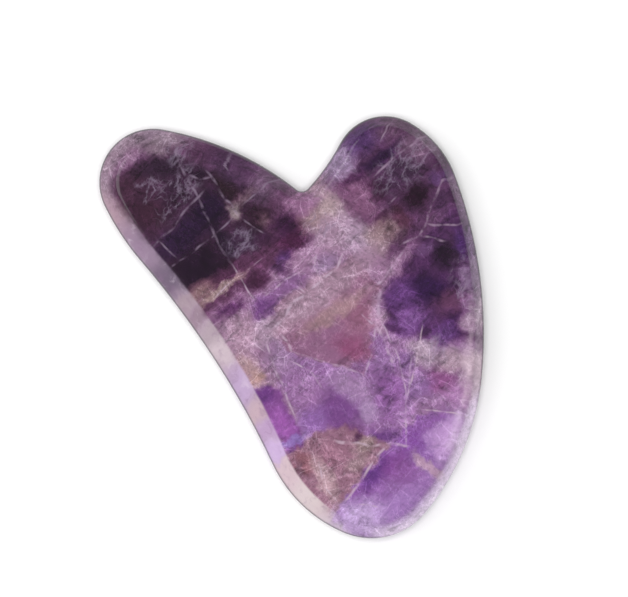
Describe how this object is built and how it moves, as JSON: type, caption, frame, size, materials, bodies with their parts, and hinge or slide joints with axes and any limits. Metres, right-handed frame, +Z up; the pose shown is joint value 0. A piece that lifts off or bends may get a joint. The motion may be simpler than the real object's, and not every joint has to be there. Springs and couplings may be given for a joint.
{
  "type": "gua sha scraper",
  "caption": "Flat heart-shaped massage stone with a long and a short round lobe, a V notch between them, a hollow jaw edge and bevelled, polished edges.",
  "frame": {"origin": "middle of the stone's length and width, on its lower face", "axes": "+Z up through the thickness, +Y along the stone to the top of the long lobe, +X across it to the side with the short lobe"},
  "size_m": [0.0556, 0.085, 0.0065],
  "materials": {
    "amethyst": "polished"
  },
  "bodies": {
    "root": {"scraper_stone": "amethyst"}
  },
  "joints": []
}
